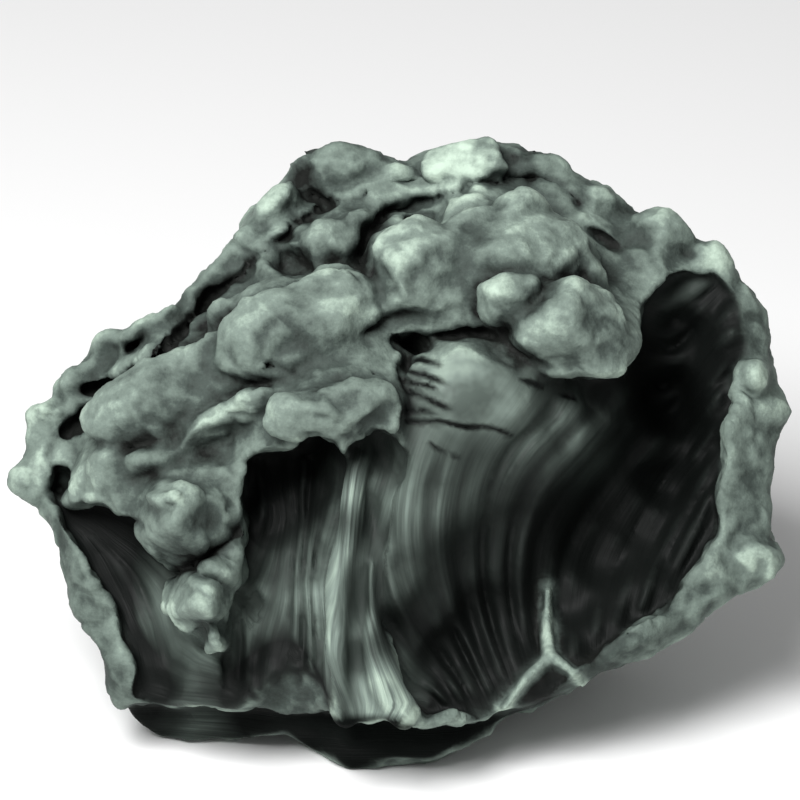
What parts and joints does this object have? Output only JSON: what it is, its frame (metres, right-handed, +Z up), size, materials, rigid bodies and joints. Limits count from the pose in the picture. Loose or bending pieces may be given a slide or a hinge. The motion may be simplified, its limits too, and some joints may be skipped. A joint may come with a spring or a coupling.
{
  "type": "obsidian chunk",
  "caption": "Hand-sized chunk of obsidian with a lumpy, pitted crust above folded, glassy hollows, resting on a flat underside.",
  "frame": {"origin": "middle of the stone's bounding box, on the flat underside that it rests on", "axes": "+Z up, +X to the right along the stone's width, -Y towards the side with the broken-out hollows"},
  "size_m": [0.14, 0.0898, 0.0956],
  "materials": {
    "obsidian": "dull grey-green crust on top and around, dark glassy hollows in the face"
  },
  "bodies": {
    "root": {"obsidian_chunk": "obsidian"}
  },
  "joints": []
}
